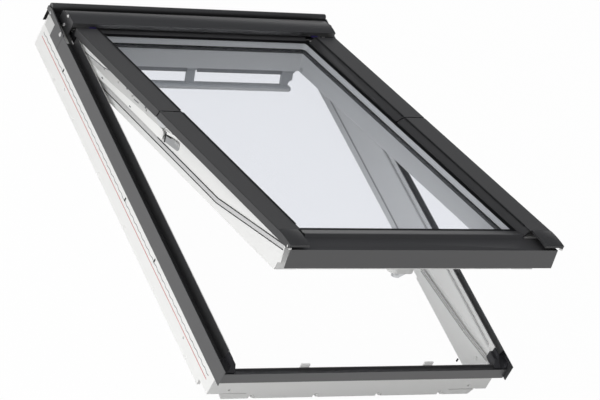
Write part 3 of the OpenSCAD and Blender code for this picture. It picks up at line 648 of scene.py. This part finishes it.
class WINDOW_OT_frame_marks(bpy.types.Operator):
    """Adds the marking lines, clips and ticks, and strips of painted shadow, shade and light along the
    frame's sides
    """

    bl_idname = "window.frame_marks"
    bl_label = "Frame side marks"

    # Distances from the window's middle of the outer shell, the inner wall and its foot
    shell_x = 379.5
    wall_x = 354.0
    foot_x = 350.0
    ends = (-535.0, 574.0)
    # Y-Z places along the inner wall: the edge of the step, and the line on the upper wall where only
    # painted shade stands for the step's run-out
    step = ((-206.0, 46.0), (-430.0, 76.0), (-546.0, 98.0))
    crease = ((470.0, 38.6), (-90.0, 35.2), (-150.0, 38.4), (-206.0, 44.0))

    def execute(self, context):
        pair("marking_line", self.line, "Marking line", "frame")
        pair("wavy_shadow_line", self.wavy_shadow, "Painted shadow strip", "frame")
        pair("edge_ticks", self.ticks, "Painted shade and black", "frame")
        pair("side_clips", self.clips, "White moulding", "frame")
        pair("gutter_light_strips", self.light_on_gutter, "Painted gutter light", "frame")
        pair("ledge_shade_strips", self.ledge, "Grey rubber and shade", "frame")
        pair("rebate_shade_below", self.rebate_edge, "Rebate shade grey", "frame")
        pair("rebate_shade_above", self.shade_above_step, "Grey rubber and shade", "frame")
        pair("wall_crease_shade", self.wall_crease, "Rebate shade grey", "frame")
        return {"FINISHED"}

    def line(self, shape):
        low, high = self.ends
        height, width, thickness = 38.7, 1.8, 0.3
        outline = bar_outline((low, height), (high, height), width)
        plate(shape, outline, self.shell_x, self.shell_x + thickness)

    def wavy_shadow(self, shape):
        """Painted shadow: a thin dark strip that waves along the shell below the cladding."""
        low, high = self.ends
        wave, swing, width, steps = 26.0, 1.3, 1.5, 340
        height, stand_off, thickness = 51.0, 0.2, 0.3
        upright = Matrix.Rotation(math.radians(90), 3, "Y")
        middle = Vector((self.shell_x + stand_off, (low + high) / 2, height))
        made = bmesh.ops.create_grid(shape, x_segments=1, y_segments=steps, size=0.5)["verts"]
        bmesh.ops.rotate(shape, cent=(0.0, 0.0, 0.0), matrix=upright, verts=made)
        bmesh.ops.scale(shape, vec=Vector((1.0, high - low, width)) * MM, verts=made)
        bmesh.ops.translate(shape, vec=middle * MM, verts=made)
        for vert in made:
            vert.co.z += swing * MM * math.sin(vert.co.y / (wave * MM) * 2 * math.pi)
        bmesh.ops.recalc_face_normals(shape, faces=shape.faces)
        bmesh.ops.solidify(shape, geom=shape.faces, thickness=thickness * MM)

    def ticks(self, shape):
        half, low, high = 2.0, 50.0, 60.0
        inner, outer = self.shell_x - 0.5, self.shell_x + 0.7
        for y in (437.0, 9.0, -186.0):
            block(shape, (inner, y - half, low), (outer, y + half, high), soft=0.2)

    def clips(self, shape):
        height, radius, depth, sunk = 6.6, 4.2, 2.0, 0.2
        for y in (453.0, 322.0, 140.0, -33.0, -229.0, -439.0):
            head(shape, (self.shell_x - sunk, y, height), OUTWARD, radius, depth, socket=0.45)

    def light_on_gutter(self, shape):
        """Painted light: a pale grey strip on the gutter's inner upstand, standing in for the light that
        falls there.
        """
        block(shape, (387.7, -534.0, 100.0), (388.6, 483.0, 121.5), soft=0.1)

    def ledge(self, shape):
        """Painted shade: a grey strip in the corner of the ledge that the sash's covers shut over, standing
        in for the shade there.
        """
        block(shape, (354.8, -514.0, 117.8), (358.2, 455.0, 121.5), soft=0.5)

    def rebate_edge(self, shape):
        """Painted shadow: grey strips just under the step in the frame side's inner face."""
        self.along(self.step, shape, self.foot_x, lift=-2.4, width=3.6, proud=0.3)

    def shade_above_step(self, shape):
        """Painted shade: paler grey strips on the wall just above the step, for the shade in the step's
        corner.
        """
        self.along(self.step, shape, self.wall_x, lift=2.4, width=4.4, proud=0.6)

    def wall_crease(self, shape):
        """Painted shade: a grey strip along the upper part of the wall, where the step's run-out is drawn
        only as shade.
        """
        self.along(self.crease, shape, self.wall_x, lift=0.0, width=5.0, proud=0.5)

    def along(self, path, shape, face, lift, width, proud):
        """Straight strips along a path, a little proud of an inner face and let into it."""
        lap, sunk = 1.0, 0.2
        for (start_y, start_z), (end_y, end_z) in zip(path, path[1:]):
            outline = bar_outline((start_y - lap, start_z + lift), (end_y + lap, end_z + lift), width)
            plate(shape, outline, face - proud, face + sunk, soft=0.0)


class WINDOW_OT_head_corner(bpy.types.Operator):
    """Adds the screws, rivet caps, gutter ends and a small blue block at the hood's corners"""

    bl_idname = "window.head_corner"
    bl_label = "Head corner fittings"

    def execute(self, context):
        pair("hood_screws", self.screws, "Pale plate", "frame")
        pair("rivet_caps", self.rivets, "Pale plate", "frame")
        pair("gutter_ends", self.gutter, "Coated sheet", "frame")
        pair("blue_blocks", self.clips, "Blue block", "frame")
        single("head_screws", self.back_screws, "Plated steel", "frame")
        return {"FINISHED"}

    def screws(self, shape):
        radius = detail_settings().screw_radius / MM
        for z in (121.0, 149.5):
            head(shape, (370.8, 526.0, z), OUTWARD, radius, height=1.8, socket=0.3)

    def rivets(self, shape):
        head(shape, (389.9, 497.5, 116.0), OUTWARD, radius=6.5, height=1.5, flatten=0.75)

    def gutter(self, shape):
        """The sheet that goes on with the gutter's upstand past the cladding's end."""
        low, high, floor, top = 484.0, 562.0, 98.6, 113.0
        plate(shape, [(low, floor), (high, floor), (high, top), (low, top)], 361.1, 362.4)

    def clips(self, shape):
        # A small dark blue block under the hood's front edge
        block(shape, (305.0, 492.8, 139.6), (322.0, 495.8, 144.0))

    def back_screws(self, shape):
        radius = detail_settings().screw_radius / MM
        for x in (-320.0, -110.0, 110.0, 320.0):
            head(shape, (x, 588.0, 60.0), UPHILL, radius, height=1.6, socket=0.35)


class WINDOW_OT_arm_marks(bpy.types.Operator):
    """Adds the pressed band and top plate of the hinge arms, painted shade for their edge, holes, slot and
    notches, and painted shade behind the cover joint
    """

    bl_idname = "window.arm_marks"
    bl_label = "Hinge arm marks"

    face_x = 353.0

    def execute(self, context):
        pair("arm_bands", self.band, "White moulding", "hinge_arms", True)
        pair("arm_tops", self.top, "White moulding", "hinge_arms", True)
        pair("arm_shade_lines", self.lines, "Painted shadow strip", "hinge_arms", True)
        pair("cover_joint_shade", self.backs, "Painted shade and black", "hinge_arms", True)
        return {"FINISHED"}

    def band(self, shape):
        outline = [(12, 83), (401, 83), (428, 98), (281, 96), (119, 104), (22, 107), (12, 101)]
        plate(shape, outline, self.face_x - 2.0, self.face_x + 0.4, soft=0.2)

    def top(self, shape):
        outline = [(463, 114), (431, 108), (331, 114.8), (267, 129), (463, 129)]
        plate(shape, outline, self.face_x - 0.2, self.face_x + 0.4, soft=0.2)

    def lines(self, shape):
        # Painted shade: dark strips along the arm's top edge, in its holes and slot, and two small raised
        # dark notch marks
        inner, outer = self.face_x - 0.2, self.face_x + 0.3
        top_edge = (((431, 106.5), (331, 113.2), 1.6), ((331, 113.2), (267, 127.8), 1.6))
        holes = (((213, 118.8), (207, 118.8), 6.0), ((115, 118.2), (109, 118.2), 6.0))
        slot = ((170, 110.5), (146, 111.5), 2.2)
        for start, end, width in (*top_edge, *holes, slot):
            plate(shape, bar_outline(start, end, width), inner, outer, soft=0.0)
        half, width, raised = 4, 3.0, self.face_x + 0.55
        for y, z in ((326, 88.8), (178, 87.4)):
            plate(shape, bar_outline((y - half, z), (y + half, z), width), self.face_x, raised, soft=0.0)

    def backs(self, shape):
        """Painted shade: a dark plate behind the slanting joint between the upper and the lower cover's
        skirts.
        """
        plate(shape, [(30, 128.5), (47, 128.5), (47, 145), (30, 145)], 363.0, 364.0)


class WINDOW_OT_pivot_fittings(bpy.types.Operator):
    """Adds the slide, bracket and painted notch shade round the sash's pivot"""

    bl_idname = "window.pivot_fittings"
    bl_label = "Pivot fittings"

    face_x = 347.0

    def execute(self, context):
        pair("pivot_slides", self.slide, "Grey plate and shadow", "sash", True)
        pair("pivot_slide_ribs", self.ribs, "Pale plate", "sash", True)
        pair("pivot_brackets", self.bracket, "White moulding", "sash", True)
        pair("pivot_notch_shade", self.notches, "Painted shade and black", "sash", True)
        return {"FINISHED"}

    def slide(self, shape):
        plate(shape, oval_outline((-50, 97.5), (6, 92.0), 9.5), self.face_x - 0.5, self.face_x + 0.4)

    def ribs(self, shape):
        lean, low, high, width = 4, 99, 106, 2.2
        for y in (-56.0, -48.0, -40.0):
            plate(shape, bar_outline((y, low), (y + lean, high), width), self.face_x, self.face_x + 0.8)

    def bracket(self, shape):
        plate(shape, [(10, 101), (10, 108), (-45, 119), (-45, 112)], self.face_x, self.face_x + 0.9)

    def notches(self, shape):
        # Painted shade: dark bars stand proud of the face where the notches' shade falls
        inner, outer = self.face_x - 0.2, self.face_x + 1.0
        gaps = (((7, 81), (9, 106), 4.0), ((5, 99), (-18, 103), 3.0), ((-16, 114.5), (-32, 118), 3.0))
        for start, end, width in gaps:
            plate(shape, bar_outline(start, end, width), inner, outer, soft=0.0)


class WINDOW_OT_sash_fittings(bpy.types.Operator):
    """Adds the sash's webs, groove seals, clips and caps, and the strips of painted shadow and painted
    highlight round its control bar
    """

    bl_idname = "window.sash_fittings"
    bl_label = "Sash fittings"

    def execute(self, context):
        pair("gasket_webs", self.web, "Grey rubber and shade", "sash", True)
        pair("upper_groove_seals", self.upper_seal, "Rubber", "hinge_arms", True)
        pair("lower_groove_seals", self.lower_seal, "Rubber", "sash", True)
        pair("tip_clips", self.clips, "White moulding", "sash", True)
        pair("rail_caps", self.caps, "Pale plate", "sash", True)
        single("bar_rod_shadow", self.rod_shadow_strips, "Grey plate and shadow", "sash", True)
        single("bar_lip_highlight", self.bar_lip_highlight, "White moulding", "control_bar", True)
        return {"FINISHED"}

    def web(self, shape):
        """The pale web between the two beads, which bends towards the lower end."""
        ends, bend, lift = (524.0, -558.5), -263.0, 39.0
        low, high = 66.0, 76.2
        upper = [(ends[0], high), (bend, high), (ends[1], high + lift)]
        lower = [(ends[1], low + lift), (bend, low)]
        plate(shape, [(ends[0], low), *upper, *lower], 346.8, 347.8, soft=0.0)

    def upper_seal(self, shape):
        self.groove_seal(shape, 39.5, 474.0)

    def lower_seal(self, shape):
        self.groove_seal(shape, -520.0, 27.5)

    def groove_seal(self, shape, low, high):
        """A T-shaped seal in the groove along a side cover's top."""
        block(shape, (306.3, low, 144.8), (308.7, high, 147.9), soft=0.1)
        block(shape, (304.6, low, 147.6), (310.0, high, 148.2), soft=0.2)

    def clips(self, shape):
        """The two small clips under a lower cover's tip."""
        block(shape, (360.0, -606.0, 128.6), (365.5, -599.5, 132.8))
        block(shape, (362.5, -598.0, 131.0), (366.3, -595.0, 136.0))

    def caps(self, shape):
        head(shape, (287.2, 466.0, 58.5), INWARD, radius=6.5, height=1.6, socket=0.3)

    def rod_shadow_strips(self, shape):
        """Painted shadow: grey strips under the head's lower edge, above the control bar's rod, broken where
        the bar's plates pass.
        """
        front, back, bottom, top = 479.2, 480.4, 37.5, 48.2
        for low, high in ((-243.0, -29.0), (-1.0, 243.0)):
            block(shape, (low, front, bottom), (high, back, top))

    def bar_lip_highlight(self, shape):
        """Painted highlight: a thin white strip along the control bar's lip, where the lip catches the
        light.
        """
        block(shape, (-266.0, 462.2, -0.8), (266.0, 463.4, 6.5))


class WINDOW_OT_sill_fittings(bpy.types.Operator):
    """Adds the tabs, bushes and studs round the sill"""

    bl_idname = "window.sill_fittings"
    bl_label = "Sill fittings"

    def execute(self, context):
        single("sill_tabs", self.tabs, "White moulding", "frame")
        pair("corner_bushes", self.bushes, "Painted shade and black", "frame")
        pair("corner_studs", self.studs, "White moulding", "frame")
        return {"FINISHED"}

    def tabs(self, shape):
        front, back, bottom, top, width = -559.4, -553.8, 0.4, 9.5, 6.0
        for x in (-256.0, -85.0, 86.0, 257.0):
            block(shape, (x, front, bottom), (x + width, back, top))

    def bushes(self, shape):
        block(shape, (347.8, -465.0, 5.5), (350.8, -461.5, 14.0), soft=0.5)

    def studs(self, shape):
        head(shape, (350.2, -511.0, 69.0), INWARD, radius=4.6, height=2.4, socket=0.35)


class WINDOW_PT_panel(bpy.types.Panel):
    """Lists the window's pieces and their settings"""

    bl_idname = "WINDOW_PT_panel"
    bl_label = "Roof Window"
    bl_space_type = "VIEW_3D"
    bl_region_type = "UI"
    bl_category = "Roof Window"

    def draw(self, context):
        for operator in OPERATORS:
            self.layout.operator(operator.bl_idname)
        for group in (finish_settings(), stage_settings(), detail_settings()):
            box = self.layout.box()
            for name in group.__annotations__:
                box.prop(group, name)


SETTINGS = (FinishSettings, StageSettings, DetailSettings)
OPERATORS = (
    WINDOW_OT_stage, WINDOW_OT_solids, WINDOW_OT_frame_marks, WINDOW_OT_head_corner, WINDOW_OT_arm_marks,
    WINDOW_OT_pivot_fittings, WINDOW_OT_sash_fittings, WINDOW_OT_sill_fittings,
)
CLASSES = SETTINGS + OPERATORS + (WINDOW_PT_panel,)


def register():
    for made in CLASSES:
        bpy.utils.register_class(made)
    bpy.types.Scene.window_finish = PointerProperty(type=FinishSettings)
    bpy.types.Scene.window_stage = PointerProperty(type=StageSettings)
    bpy.types.Scene.window_detail = PointerProperty(type=DetailSettings)


def unregister():
    del bpy.types.Scene.window_finish
    del bpy.types.Scene.window_stage
    del bpy.types.Scene.window_detail
    for made in reversed(CLASSES):
        bpy.utils.unregister_class(made)


def main():
    register()
    bpy.ops.window.stage()
    bpy.ops.window.solids()
    bpy.ops.window.frame_marks()
    bpy.ops.window.head_corner()
    bpy.ops.window.arm_marks()
    bpy.ops.window.pivot_fittings()
    bpy.ops.window.sash_fittings()
    bpy.ops.window.sill_fittings()


if __name__ == "__main__":
    main()
